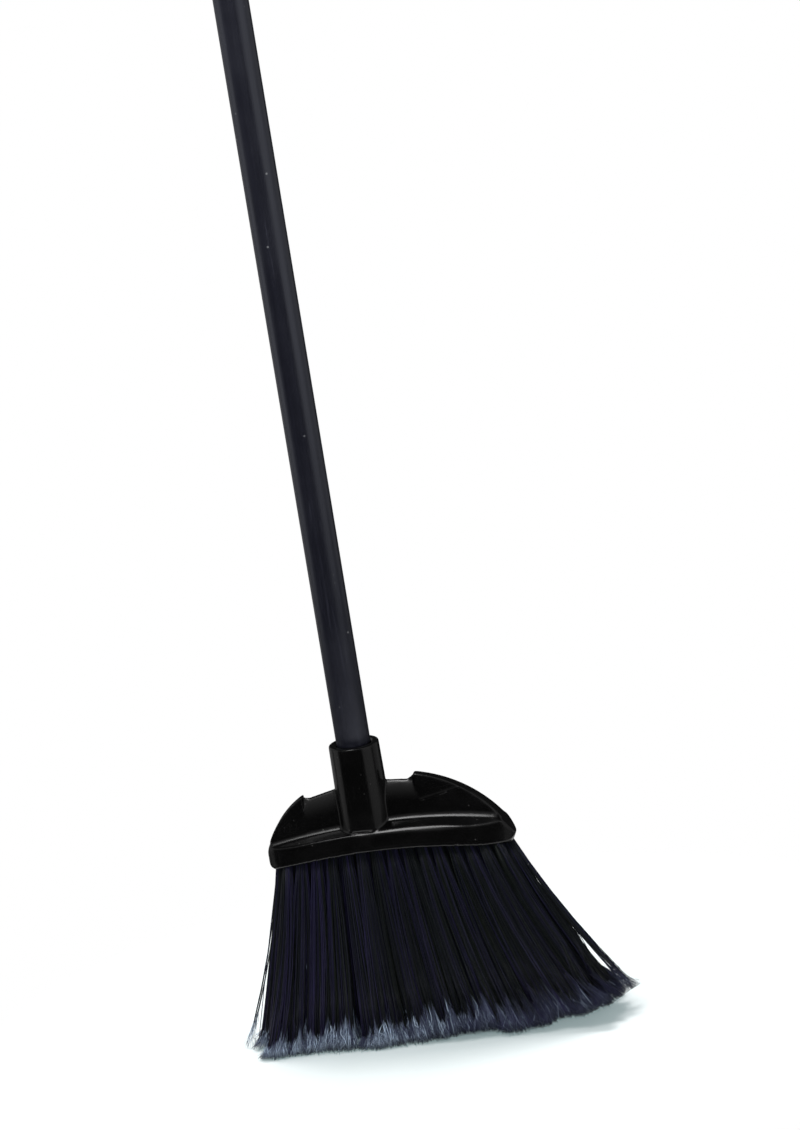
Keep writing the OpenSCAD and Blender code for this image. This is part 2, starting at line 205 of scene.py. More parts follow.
def leave():
    bpy.ops.object.mode_set(mode="OBJECT")


def pick(piece, kind, test):
    """Selects the faces or edges of a piece in edit mode whose middle and normal, or ends, pass a test."""
    bpy.ops.mesh.select_mode(type=kind)
    bpy.ops.mesh.select_all(action="DESELECT")
    mesh = bmesh.from_edit_mesh(piece.data)
    if kind == "FACE":
        for face in mesh.faces:
            face.select_set(bool(test(face.calc_center_median(), face.normal)))
    else:
        for line in mesh.edges:
            line.select_set(bool(test(line.verts[0].co, line.verts[1].co)))
    mesh.select_flush_mode()
    bmesh.update_edit_mesh(piece.data)


def draw_out(up=0.0):
    """Extrudes what is selected in edit mode, straight up."""
    bpy.ops.mesh.extrude_region_move(TRANSFORM_OT_translate={"value": (0.0, 0.0, up)})


def cut(point, normal, **settings):
    """Cuts all of the mesh in edit mode along a plane."""
    bpy.ops.mesh.select_all(action="SELECT")
    bpy.ops.mesh.bisect(plane_co=point, plane_no=normal, **settings)


def set_place():
    """Puts the place of a new primitive into its mesh, and gives the piece."""
    bpy.ops.object.transform_apply(location=True, rotation=True, scale=True)
    return bpy.context.active_object


def cylinder(sides, radius, low, high, ends="NGON"):
    """An upright cylinder on the axis between two heights."""
    deselect()
    tall = high - low
    bpy.ops.mesh.primitive_cylinder_add(vertices=sides, radius=radius, depth=tall, location=(0, 0, low + tall / 2),
                                        end_fill_type=ends)
    return set_place()


def apply_modifier(piece, kind, **settings):
    activate(piece)
    bpy.ops.object.modifier_add(type=kind)
    modifier = piece.modifiers[-1]
    for key, value in settings.items():
        setattr(modifier, key, value)
    bpy.ops.object.modifier_apply(modifier=modifier.name)


def round_edges(body, width, segments, limit=25.0):
    apply_modifier(body, "BEVEL", width=width, segments=segments, limit_method="ANGLE",
                   angle_limit=math.radians(limit))


def mend_normals(piece, merge=1e-6):
    edit(piece)
    bpy.ops.mesh.select_all(action="SELECT")
    bpy.ops.mesh.remove_doubles(threshold=merge)
    bpy.ops.mesh.normals_make_consistent(inside=False)
    leave()


def smooth_by_angle(piece, degrees):
    activate(piece)
    bpy.ops.object.shade_smooth_by_angle(angle=math.radians(degrees))


def dress(piece, material):
    piece.data.materials.clear()
    piece.data.materials.append(material)


def hand_over(piece, name, body, slot, material, *nodes):
    """Names a finished piece, gives it its material, and sets it on its body in place of its solids."""
    piece.name = piece.data.name = name
    dress(piece, material)
    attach(piece, body)
    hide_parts(*nodes)


class BroomStep:
    """What the operators of all steps have in common."""

    bl_options = {"REGISTER", "UNDO"}


# Shared effects

class Nodes:
    """Places nodes in a tree and links them: a value that is a socket is linked, any other is set."""

    def __init__(self, tree):
        self.tree = tree

    def add(self, kind, settings=None, **inputs):
        node = self.tree.nodes.new(kind)
        for key, value in (settings or {}).items():
            setattr(node, key, value)
        for key, value in inputs.items():
            self.feed(node, key.replace("_", " "), value)
        return node

    def feed(self, node, key, value):
        socket = node.inputs[key]
        if isinstance(value, bpy.types.NodeSocket):
            self.tree.links.new(value, socket)
        else:
            socket.default_value = value

    def chain(self, kind, settings, *values):
        """First output of a node whose first inputs are fed in order."""
        node = self.add(kind, settings)
        for key, value in enumerate(values):
            self.feed(node, key, value)
        return node.outputs[0]

    def math(self, operation, a, b):
        return self.chain("ShaderNodeMath", {"operation": operation}, a, b)

    def times(self, a, b):
        return self.math("MULTIPLY", a, b)

    def plus(self, a, b):
        return self.math("ADD", a, b)

    def less(self, a, b):
        return self.math("SUBTRACT", a, b)

    def most(self, a, b):
        return self.math("MAXIMUM", a, b)

    def spread(self, value, low, high, start=0.0, end=1.0):
        """Value between low and high, eased to run from start to end."""
        node = self.add("ShaderNodeMapRange", {"interpolation_type": "SMOOTHSTEP"}, Value=value, From_Min=low,
                        From_Max=high, To_Min=start, To_Max=end)
        return node.outputs["Result"]

    def mix(self, factor, a, b):
        node = self.add("ShaderNodeMix", {"data_type": "RGBA"})
        # The node's sockets for colours come after those for numbers and vectors
        for key, value in ((0, factor), (6, a), (7, b)):
            self.feed(node, key, value)
        return node.outputs[2]

    def noise(self, vector, scale, detail, roughness=0.5):
        node = self.add("ShaderNodeTexNoise", Vector=vector, Scale=scale, Detail=detail, Roughness=roughness)
        return node.outputs["Fac"]

    def axes(self, vector):
        return self.add("ShaderNodeSeparateXYZ", Vector=vector).outputs

    def attribute(self, name):
        return self.add("ShaderNodeAttribute", {"attribute_name": name}).outputs["Fac"]

    def place(self, stretch=None, turn=(0.0, 0.0, 0.0)):
        """Object coordinates, turned and with each axis multiplied by stretch."""
        place = self.add("ShaderNodeTexCoord").outputs["Object"]
        if stretch:
            place = self.add("ShaderNodeMapping", Vector=place, Scale=stretch, Rotation=turn).outputs["Vector"]
        return place

    def group(self, tree, **inputs):
        return self.add("ShaderNodeGroup", {"node_tree": tree}, **inputs).outputs


def new_group(name, inputs, *outputs):
    """A group of nodes with its sockets: its tree, its nodes, its inputs and its output node."""
    tree = bpy.data.node_groups.new(name, "ShaderNodeTree")
    for label, default in inputs.items():
        socket = tree.interface.new_socket(label, in_out="INPUT", socket_type="NodeSocketFloat")
        socket.default_value = default
    for label in outputs:
        tree.interface.new_socket(label, in_out="OUTPUT", socket_type="NodeSocketFloat")
    n = Nodes(tree)
    return tree, n, n.add("NodeGroupInput").outputs, n.add("NodeGroupOutput")


@cache
def moulded_grain():
    """Faint orange peel of a moulded or dipped skin, and broad cloudy patches."""
    tree, n, sizes, out = new_group("moulded_grain", {"Peel Scale": 900.0, "Cloud Scale": 45.0}, "Peel", "Cloud")
    place = n.place()
    n.feed(out, "Peel", n.noise(place, sizes["Peel Scale"], 2.0))
    n.feed(out, "Cloud", n.spread(n.noise(place, sizes["Cloud Scale"], 4.0, 0.6), 0.35, 0.68))
    return tree


@cache
def settled_dust():
    """Small pale specks, thinly and unevenly strewn."""
    tree, n, sizes, out = new_group("settled_dust", {"Speck Scale": 420.0, "Share": 0.06}, "Dust")
    place = n.place()
    cells = n.add("ShaderNodeTexVoronoi", Vector=place, Scale=sizes["Speck Scale"]).outputs
    lot = n.add("ShaderNodeSeparateColor", Color=cells["Color"]).outputs["Red"]
    chosen = n.math("LESS_THAN", lot, sizes["Share"])
    spot = n.spread(cells["Distance"], 0.10, 0.30, 1.0, 0.0)
    patch = n.spread(n.noise(place, 30.0, 2.0), 0.42, 0.62)
    n.feed(out, "Dust", n.times(n.times(chosen, spot), patch))
    return tree


@cache
def hairline_scuffs():
    """Fine scratches in two directions, in patches."""
    tree, n, sizes, out = new_group("hairline_scuffs", {"Fineness": 900.0, "Patch Scale": 28.0}, "Scuff")
    lines = []
    for turn in (0.5, -0.9):
        place = n.place((1.0, 1.0, 0.035), (0.0, turn, 0.3))
        lines.append(n.spread(n.noise(place, sizes["Fineness"], 1.0), 0.66, 0.74))
    patch = n.spread(n.noise(n.place(), sizes["Patch Scale"], 2.0), 0.45, 0.65)
    n.feed(out, "Scuff", n.times(n.most(*lines), patch))
    return tree


# Finishes

DUST = (0.10, 0.10, 0.098, 1)
PALE_SPECK = (0.35, 0.36, 0.37, 1)
STEEL_TONES = (0.42, 0.43, 0.45, 1), (0.58, 0.59, 0.60, 1)
BRASS_TONES = (0.42, 0.29, 0.09, 1), (0.62, 0.45, 0.17, 1)
TIP_BLACK, FERRULE_BLACK, BLOCK_BLACK = (0.0045, 0.0046, 0.0052), (0.010, 0.010, 0.011), (0.0050, 0.0050, 0.0056)


def new_material(name):
    material = bpy.data.materials.new(name)
    material.use_nodes = True
    return material, Nodes(material.node_tree), material.node_tree.nodes["Principled BSDF"]


def bump(n, shader, height, strength, distance):
    node = n.add("ShaderNodeBump", Height=height, Strength=strength, Distance=distance)
    n.feed(shader, "Normal", node.outputs["Normal"])


def rgba(values, gain=1.0):
    return (*(gain * value for value in values), 1.0)


def moulded_plastic(name, black, roughness, dust_share=0.05, worn=False):
    """Black moulded plastic: cloudy gloss, orange peel, hairline scuffs, dust and, where asked, rubbed edges."""
    material, n, shader = new_material(name)
    grain = n.group(moulded_grain())
    dust = n.group(settled_dust(), Share=dust_share)["Dust"]
    scuff = n.group(hairline_scuffs())["Scuff"]
    cloudy = n.mix(grain["Cloud"], rgba(black, 0.8), rgba(black, 1.35))
    rubbed = n.times(scuff, 0.10)
    if worn:
        rubbed = n.most(rubbed, n.times(n.attribute("edge"), n.times(grain["Cloud"], 0.12)))
    tone = n.mix(rubbed, cloudy, rgba([5 * c + 0.004 for c in black]))
    n.feed(shader, "Base Color", n.mix(n.times(dust, 0.6), tone, DUST))
    uneven = n.plus(roughness, n.times(grain["Cloud"], 0.05))
    uneven = n.plus(uneven, n.times(scuff, 0.07))
    n.feed(shader, "Roughness", n.plus(uneven, n.times(dust, 0.4)))
    bump(n, shader, n.less(grain["Peel"], n.times(scuff, 0.15)), 0.05, 0.0002)
    return material


def vinyl(handle):
    """Dark slate vinyl: lengthwise drawing lines, paler high up and in cloudy patches, scuffs and a few pale specks.
    """
    material, n, shader = new_material("handle_vinyl")
    grain = n.group(moulded_grain(), Peel_Scale=1300.0, Cloud_Scale=22.0)
    scuff = n.group(hairline_scuffs(), Fineness=700.0, Patch_Scale=16.0)["Scuff"]
    dust = n.group(settled_dust(), Speck_Scale=300.0, Share=0.03)["Dust"]
    lines = n.spread(n.noise(n.place((1.0, 1.0, 0.012)), 620.0, 3.0), 0.40, 0.62)
    # Paler towards the top of the handle, and in cloudy patches
    high = n.spread(n.axes(n.place())["Z"], 0.22, 0.62, 0.0, 0.65)
    bloom = n.plus(high, n.times(grain["Cloud"], 0.35))
    tone = n.mix(bloom, rgba(handle.vinyl), rgba(handle.vinyl_light))
    tone = n.mix(n.times(lines, 0.35), tone, rgba(handle.vinyl, 0.6))
    tone = n.mix(n.times(scuff, 0.5), tone, rgba(handle.vinyl_light, 2.4))
    n.feed(shader, "Base Color", n.mix(n.times(dust, 0.8), tone, PALE_SPECK))
    uneven = n.plus(0.30, n.times(grain["Cloud"], 0.08))
    n.feed(shader, "Roughness", n.plus(uneven, n.times(scuff, 0.15)))
    bump(n, shader, n.plus(n.times(grain["Peel"], 0.5), n.times(lines, 0.6)), 0.10, 0.0002)
    n.feed(shader, "Specular IOR Level", 1.0)
    n.feed(shader, "Specular Tint", (0.84, 0.88, 1.0, 1))
    n.feed(shader, "IOR", 1.62)
    return material


def drawn_steel():
    """Bare welded tube: lengthwise drawing lines and cloudy dull patches."""
    material, n, shader = new_material("tube_steel")
    grain = n.group(moulded_grain(), Cloud_Scale=60.0)
    lines = n.spread(n.noise(n.place((1.0, 1.0, 0.01)), 900.0, 4.0), 0.3, 0.7)
    n.feed(shader, "Base Color", n.mix(lines, *STEEL_TONES))
    n.feed(shader, "Roughness", n.plus(0.28, n.times(grain["Cloud"], 0.18)))
    n.feed(shader, "Metallic", 1.0)
    bump(n, shader, lines, 0.15, 0.0001)
    return material


def anchor_wire():
    """Coated flat wire: brassy, with dull clouds."""
    material, n, shader = new_material("anchor_wire")
    grain = n.group(moulded_grain(), Cloud_Scale=300.0)
    n.feed(shader, "Base Color", n.mix(grain["Cloud"], *BRASS_TONES))
    n.feed(shader, "Roughness", n.plus(0.25, n.times(grain["Cloud"], 0.2)))
    n.feed(shader, "Metallic", 1.0)
    return material


def bristle_fibre(bristle):
    """Near-black and violet fibres, satin sheen, painted glints, pale split tips, painted shade and soil at the foot.
    """
    material, n, shader = new_material("bristle_fibre")
    tint, flag, bleach, shade_and_soil = map(n.attribute, ("tint", "flag", "bleach", "shade_and_soil"))
    kinks = n.noise(n.place((1.0, 1.0, 0.2)), 500.0, 2.0)
    body = n.mix(tint, rgba(bristle.dark), rgba(bristle.violet))
    body = n.mix(n.times(kinks, 0.35), body, rgba(bristle.dark, 0.5))
    # Painted glints: sparse pale streaks stand in for glints of light on the fibres
    painted_glint = n.spread(n.noise(n.place((1.0, 1.0, 0.1)), 420.0, 1.0), 0.80, 0.84)
    body = n.mix(n.times(painted_glint, 0.5), body, rgba(bristle.bright))
    pale = n.mix(n.times(tint, 0.75), rgba(bristle.pale), rgba(bristle.violet, 1.6))
    pale = n.mix(n.math("POWER", bleach, 2.0), pale, rgba(bristle.bright))
    tone = n.mix(n.spread(flag, 0.0, 0.25), body, pale)
    # Painted shade and soil: the tips darken near the floor, standing in for their shadowed underside
    n.feed(shader, "Base Color", n.mix(n.times(shade_and_soil, 0.9), tone, rgba(bristle.shade_and_soil)))
    dull = n.spread(flag, 0.0, 0.6, 0.38, 0.75)
    n.feed(shader, "Roughness", n.plus(dull, n.times(kinks, 0.1)))
    n.feed(shader, "Specular IOR Level", 0.28)
    return material


# Shape of the cap

PLAN_POINTS, PANEL_POINTS = 224, 48
# Powers of the superellipse of the plan, on the left and on the right
PLAN_POWERS = (3.0, 2.7)
# Outer section of the skirt in millimetres, from its lower edge up to the wing: distance outside the wing, height
LIP_SECTION = (
    (11.2, 0.0), (11.42, 0.12), (11.5, 0.45), (11.5, 1.9), (11.44, 2.25), (11.22, 2.5), (11.08, 2.75), (11.05, 3.2),
    (11.0, 4.2), (10.93, 6.0), (10.85, 8.0),
)
SHOULDER_SECTION = (
    (1.6, 17.5), (1.25, 17.95), (0.9, 18.45), (0.5, 18.95), (0.2, 19.4), (0.0, 19.9), (-0.6, 20.4), (-2.5, 20.6),
)
BROAD_BULGE = LIP_SECTION + (
    (10.74, 9.9), (10.6, 11.0), (10.3, 11.75), (9.9, 12.35), (9.4, 13.0), (8.9, 13.6), (8.3, 14.15), (7.4, 14.65),
    (5.8, 15.4), (4.0, 16.3),
) + SHOULDER_SECTION
TIGHT_BULGE = LIP_SECTION + (
    (10.78, 9.9), (10.72, 11.2), (10.65, 12.1), (10.5, 12.9), (10.1, 13.5), (9.5, 13.85), (8.7, 14.2), (7.6, 14.7),
    (5.8, 15.5), (4.0, 16.35),
) + SHOULDER_SECTION
SECTION_DEPTH, SECTION_HEIGHT = 11.5, 19.8
LIP_TOP, BULGE_TOP = 3.0, 13.85
SHOULDER_OUT, SHOULDER_UP = SHOULDER_SECTION[0]
# Where the tight bulge takes over from the broad one, to the right and to the left of the axis
TIGHT_RIGHT, TIGHT_LEFT = (48 * MM, 70 * MM), (0.0, 10 * MM)
# The wing's greatest share of the skirt's depth, the share of the section's depth under which the bulge flattens,
# and the least share of the wing's depth at the top of the section
WING_SHARE, FULL_BULGE, TOP_SHARE = 0.8, 0.75, 0.3
# The shoulder climbs to the right of a place and falls to the left of it, above a height of the section
TILT_X, TILT_CLIMB, TILT_FALL, LOWEST_TILT = 27 * MM, 0.022, 0.045, -2.0 * MM
TILT_FROM, TILT_OVER = 12.0, 5.0
# Where the lower edge starts to curve up towards the long wing's end, over which length, and how far
LIFT_X, LIFT_RUN, LIFT_H = 70 * MM, 28 * MM, 3.8 * MM
# Length over which the skirt eases into the crown, and a limit that keeps the power in it small
CROWN_EASE, EASE_LIMIT = 1.2 * MM, 40.0
# What the rounding of the crown's edge takes off its height
EDGE_ALLOWANCE = 0.5 * MM
# Depths below the web's top, in millimetres, at which its faces are cut to lean
WEB_CUTS = (1, 2, 3.2, 4.6, 6.2, 8, 10, 12.5, 15.5)
# Rounds of evening out the measure of an edge, and the turn that counts as a full edge
EDGE_ROUNDS, FULL_EDGE = 3, 0.10
LEAST_FACES = 1000


def arch_z(cap, x, top):
    middle = (cap.right - cap.left) / 2
    return top - cap.arch_r + math.sqrt(cap.arch_r ** 2 - (x - middle) ** 2)


def arc_centre(p, q, radius):
    """Centre of the circle through two points, on the lower side of them."""
    d = (q[0] - p[0], q[1] - p[1])
    span = math.hypot(*d)
    side = -1 if q[0] < p[0] else 1
    reach = side * math.sqrt(radius ** 2 - span ** 2 / 4) / span
    return ((p[0] + q[0]) / 2 + reach * d[1], (p[1] + q[1]) / 2 - reach * d[0])


def crown_z(cap, x):
    """Height of the wings' outline at x."""
    top = (0.0, cap.edge_z + cap.crown_h)
    reach, end_h, radius = ((-cap.left, cap.left_end_h, cap.left_crown_r) if x < 0 else
                            (cap.right, cap.right_end_h, cap.right_crown_r))
    centre = arc_centre(top, (reach, arch_z(cap, reach, cap.edge_z) + end_h), radius)
    return centre[1] + math.sqrt(max(0.0, radius ** 2 - (x - centre[0]) ** 2))


def shoulder_tilt(x, up):
    """How far the shoulder lies above the skirt's own arch."""
    off = x - TILT_X
    climb = TILT_CLIMB * off if off > 0 else max(LOWEST_TILT, TILT_FALL * off)
    return climb * min(1.0, max(0.0, (up - TILT_FROM) / TILT_OVER))


def end_lift(x, up):
    """How far the lower edge curves up towards the long wing's end."""
    run = max(0.0, x - LIFT_X) / LIFT_RUN
    return LIFT_H * run ** 2 * max(0.0, 1 - up / SHOULDER_UP)


def under_crown(z, crown):
    """Height z, eased over to the crown's where it would stand out of it."""
    return crown - CROWN_EASE * math.log1p(math.exp(min(EASE_LIMIT, (crown - z) / CROWN_EASE)))


def plan_point(cap, k, inset):
    """Point k of the skirt's superellipse plan, drawn in by inset."""
    turn = 2 * math.pi * k / PLAN_POINTS
    c, s = math.cos(turn), math.sin(turn)
    half = (cap.right + cap.left) / 2 - inset
    power = 2 / PLAN_POWERS[c > 0]
    x = (cap.right - cap.left) / 2 + half * math.copysign(abs(c) ** power, c)
    return x, (cap.skirt_d / 2 - inset) * math.copysign(abs(s) ** power, s)


def ease(value, low, high):
    """Eased step from 0 at low to 1 at high."""
    t = min(1.0, max(0.0, (value - low) / (high - low)))
    return t * t * (3 - 2 * t)


def skirt_ring(cap, step):
    """One ring of the skirt's outside, through one point of its section."""
    ring = []
    middle, half = (cap.right - cap.left) / 2, (cap.right + cap.left) / 2
    for k in range(PLAN_POINTS):
        x, y = plan_point(cap, k, 0.0)
        tight = max(ease(x, *TIGHT_RIGHT), ease(-x, *TIGHT_LEFT))
        out, up = ((1 - tight) * a + tight * b for a, b in zip(BROAD_BULGE[step], TIGHT_BULGE[step]))
        wing = min(cap.wing_t / 2, WING_SHARE * abs(y))
        room = abs(y) - wing
        narrow = max(0.0, 1 - room / (FULL_BULGE * SECTION_DEPTH * MM))
        if up < BULGE_TOP:
            up += narrow * (SHOULDER_UP - BULGE_TOP) * max(0.0, (up - LIP_TOP) / (BULGE_TOP - LIP_TOP))
        elif up < SHOULDER_UP:
            up += narrow * (SHOULDER_UP - up)
        strip = min(SHOULDER_OUT * MM, room)
        depth = max(TOP_SHARE * wing, wing + strip * min(1.0, out / SHOULDER_OUT))
        depth += (room - strip) * max(0.0, out - SHOULDER_OUT) / (SECTION_DEPTH - SHOULDER_OUT)
        inwards = cap.corner_r - min(cap.corner_r, half - abs(x - middle))
        lift = cap.corner_r - math.sqrt(max(0.0, cap.corner_r ** 2 - inwards ** 2))
        z = arch_z(cap, x, cap.edge_z) + lift + (cap.band_h - lift) * up / SECTION_HEIGHT
        z += shoulder_tilt(x, up) + end_lift(x, up)
        ring.append((x, math.copysign(depth, y), under_crown(z, crown_z(cap, x))))
    return ring


def cavity_ring(cap, inset, height, flat=False):
    """One ring of the cavity below, or its middle line where flat."""
    ring = []
    for k in range(PLAN_POINTS):
        x, y = plan_point(cap, k, inset)
        z = min(arch_z(cap, x, cap.edge_z + height), crown_z(cap, x) - cap.skirt_wall)
        ring.append((x, 0.0 if flat else y, z))
    return ring


def loft(rings):
    """A shell through rings of equal count, drawn out ring by ring from a circle."""
    bpy.ops.mesh.primitive_circle_add(vertices=len(rings[0]), radius=1.0, fill_type="NOTHING")
    shell = bpy.context.active_object
    edit(shell)
    mesh = bmesh.from_edit_mesh(shell.data)
    seat = mesh.verts.layers.int.new("seat")
    for k, vert in enumerate(mesh.verts):
        vert[seat] = k
    bpy.ops.mesh.select_all(action="SELECT")
    for number, ring in enumerate(rings):
        if number:
            draw_out()
        mesh = bmesh.from_edit_mesh(shell.data)
        seat = mesh.verts.layers.int["seat"]
        for vert in mesh.verts:
            if vert.select:
                vert.co = ring[vert[seat]]
        bmesh.update_edit_mesh(shell.data)
    leave()
    return shell


def cap_skirt(cap):
    """The rounded skirt with its lip, bulge, shoulder fillet and the cavity of the tuft block."""
    wall, lip, lip_top, lip_low = cap.skirt_wall, 0.7 * MM, 1.6 * MM, 0.1 * MM
    inside = [
        cavity_ring(cap, wall, cap.cavity_h, flat=True), cavity_ring(cap, wall, cap.cavity_h),
        cavity_ring(cap, wall, lip_top), cavity_ring(cap, wall + lip, lip_top), cavity_ring(cap, wall + lip, lip_low),
    ]
    outside = [skirt_ring(cap, step) for step in range(len(BROAD_BULGE))]
    top = [(x, 0.0, z) for x, y, z in outside[-1]]
    shell = loft([*inside, *outside, top])
    mend_normals(shell)
    return shell


def plate(outline, depth):
    """An outline in X and Z with a depth centred on the axis."""
    bpy.ops.mesh.primitive_circle_add(vertices=len(outline), radius=1.0, fill_type="NGON")
    body = bpy.context.active_object
    for vert, (x, z) in zip(body.data.vertices, outline):
        vert.co = (x, 0.0, z)
    apply_modifier(body, "SOLIDIFY", thickness=depth, offset=0.0)
    mend_normals(body)
    return body


def wing_outline(cap, start, end):
    """Outline of a wing's outer panel from its step to where the crown meets the skirt."""
    sunk, least, thinned = 3 * MM, 0.2 * MM, 4
    root = cap.edge_z + cap.band_h - sunk
    xs = [start + (end - start) * k / (PANEL_POINTS - 1) for k in range(PANEL_POINTS)]
    xs = [x for x in xs if crown_z(cap, x) > arch_z(cap, x, root) + least]
    upper = [(x, crown_z(cap, x) + EDGE_ALLOWANCE) for x in xs]
    lower = [(x, arch_z(cap, x, root)) for x in reversed(xs[::thinned])]
    return upper + lower


def lean(panel, point, along, tilt, sides):
    """Cuts a panel so that its front (-1), or its front and back (-1, 1), lean in above a line through a point."""
    for side in sides:
        upward = Vector((0, -side * math.sin(tilt), math.cos(tilt)))
        outward = Vector((along[0], -side * along[1], along[2])).cross(upward)
        if outward.y * side < 0:
            outward = -outward
        edit(panel)
        cut((point[0], side * point[1], point[2]), outward, use_fill=True, clear_outer=True)
        leave()


def rib(start, end, radius):
    """A thin round rib between two points."""
    way = end - start
    bpy.ops.mesh.primitive_cylinder_add(vertices=16, radius=radius, depth=way.length, location=(start + end) / 2,
                                        rotation=way.to_track_quat("Z", "Y").to_euler())
    return set_place()


def cap_wings(cap):
    """Both outer panels, which lean in towards the crown, with the tilted facet and its crease on the long one."""
    half, foot = cap.wing_t / 2, cap.edge_z + cap.band_h
    tilt, left_drop, left_rise, right_rise = math.radians(8), 3 * MM, 0.08, -0.13
    left = plate(wing_outline(cap, -cap.left_step, -cap.left), cap.wing_t)
    right = plate(wing_outline(cap, cap.right_step, cap.right), cap.wing_t)
    lean(left, (-cap.left_step, half, foot - left_drop), (1, 0, left_rise), tilt, (-1, 1))
    lean(right, (cap.right_step, half, foot), (1, 0, right_rise), tilt, (-1, 1))
    up, run, rise, fall = 8.2 * MM, 31.5 * MM, 6.4 * MM, 4.1 * MM
    start = Vector((cap.right_step, math.tan(tilt) * up - half, foot + up))
    crease = Vector((run, math.tan(tilt) * (rise + fall), rise))
    lean(right, (start.x, -start.y, start.z), crease, 2 * tilt, (-1,))
    for panel in (left, right):
        round_edges(panel, 1.6 * MM, 4)
    sunk, rib_start, rib_end, rib_r = Vector((0, 0.25 * MM, 0)), 0.08, 0.97, 0.7 * MM
    line = rib(start + rib_start * crease + sunk, start + rib_end * crease + sunk, rib_r)
    return [left, right, line]


def cap_web(cap):
    """The web between the socket and the steps, notched beside each wing and leaning back to a thin top."""
    left_top, right_top = crown_z(cap, -cap.left_step), crown_z(cap, cap.right_step)
    low = cap.edge_z + cap.band_h - 6 * MM
    notch, over = 4.5 * MM, 2 * MM
    left = (notch - cap.left_step, left_top - 1.4 * MM)
    middle = (0.0, cap.edge_z + cap.crown_h - 0.3 * MM)
    right = (cap.right_step - notch, right_top - 3.8 * MM)
    left_end, right_end = -cap.left_step - over, cap.right_step + over
    outline = [
        (left_end, low), (left_end, left_top - 1.5 * MM), (-cap.left_step, left_top - 0.6 * MM), left, middle, right,
        (cap.right_step, right_top - 0.8 * MM), (right_end, right_top - 1.5 * MM), (right_end, low),
    ]
    web = plate(outline, cap.web_t)
    slopes = [(end[1] - middle[1]) / (end[0] - middle[0]) for end in (left, right)]
    edit(web)
    for drop in WEB_CUTS:
        for slope in slopes:
            cut((0, 0, middle[1] - drop * MM), (-slope, 0, 1))
    leave()
    lean_h, lean_power, thin = 22 * MM, 2.6, 0.09
    for vert in web.data.vertices:
        drop = middle[1] + slopes[vert.co.x > 0] * vert.co.x - vert.co.z
        vert.co.y *= 1 - (1 - thin) * max(0.0, 1 - max(0.0, drop) / lean_h) ** lean_power
    round_edges(web, 0.8 * MM, 3, 50.0)
    return web


def cap_socket(cap):
    """The drafted socket with its rounded rim and stepped bore."""
    roof, mouth, bore_h, ledge, thread_h, rounding = 1.4 * MM, 1.5 * MM, 30.6 * MM, 1.9 * MM, 21 * MM, 0.8 * MM
    foot_r = cap.socket_r + cap.socket_draft
    socket = cylinder(128, foot_r, cap.edge_z + cap.cavity_h + roof, cap.rim_z)
    edit(socket)
    pick(socket, "FACE", lambda middle, normal: normal.z > 0.9)
    narrow = cap.socket_r / foot_r
    bpy.ops.transform.resize(value=(narrow, narrow, 1), center_override=(0, 0, cap.rim_z))
    bpy.ops.mesh.inset(thickness=cap.socket_r - cap.bore_r - mouth)
    bpy.ops.mesh.inset(thickness=mouth, depth=-mouth)
    draw_out(-bore_h)
    bpy.ops.mesh.inset(thickness=ledge)
    draw_out(-thread_h)
    rim_r = cap.socket_r - 0.05 * MM
    pick(socket, "EDGE", lambda a, b: min(a.z, b.z) > cap.rim_z - 1e-5 and
         min(math.hypot(a.x, a.y), math.hypot(b.x, b.y)) > rim_r)
    bpy.ops.mesh.bevel(offset=rounding, segments=3, affect="EDGES")
    leave()
    return socket


def mark_edges(piece):
    """Stores in the attribute "edge" how sharply the skin turns outwards at each vertex."""
    mesh = bmesh.new()
    mesh.from_mesh(piece.data)
    turn = np.zeros(len(mesh.verts))
    for k, vert in enumerate(mesh.verts):
        ways = [line.other_vert(vert).co - vert.co for line in vert.link_edges]
        turn[k] = sum(-way.normalized().dot(vert.normal) for way in ways if way.length > 0) / max(1, len(ways))
    mesh.free()
    ends = np.zeros(2 * len(piece.data.edges), int)
    piece.data.edges.foreach_get("vertices", ends)
    a, b = ends.reshape(-1, 2).T
    for _ in range(EDGE_ROUNDS):
        total, count = turn.copy(), np.ones(len(turn))
        for p, q in ((a, b), (b, a)):
            total += np.bincount(p, turn[q], len(turn))
            count += np.bincount(p, minlength=len(turn))
        turn = total / count
    edge = piece.data.attributes.new("edge", "FLOAT", "POINT")
    edge.data.foreach_set("value", np.clip(turn / FULL_EDGE, 0, 1).astype(np.float32))


class BROOM_OT_cap(BroomStep, bpy.types.Operator):
    """Models the moulded cap: skirt, wings, web and socket melted into one skin"""

    bl_idname = "broom.cap"
    bl_label = "Moulded Cap"

    def execute(self, context):
        cap = context.scene.broom_cap
        deselect()
        parts = [cap_skirt(cap), *cap_wings(cap), cap_web(cap), cap_socket(cap)]
        deselect()
        for part in parts:
            part.select_set(True)
        shell = parts[0]
        context.view_layer.objects.active = shell
        bpy.ops.object.join()
        apply_modifier(shell, "REMESH", mode="VOXEL", voxel_size=cap.voxel, adaptivity=0.0)
        apply_modifier(shell, "SMOOTH", factor=0.5, iterations=6)
        if len(shell.data.polygons) < LEAST_FACES:
            raise RuntimeError("the cap's skin didn't form")
        mark_edges(shell)
        activate(shell)
        bpy.ops.object.shade_smooth()
        black = moulded_plastic("cap_plastic", cap.black, cap.gloss, dust_share=0.03, worn=True)
        hand_over(shell, "moulded_cap", "head", "cap_plastic", black, "head_cap")
        return {"FINISHED"}


# Handle and inner parts

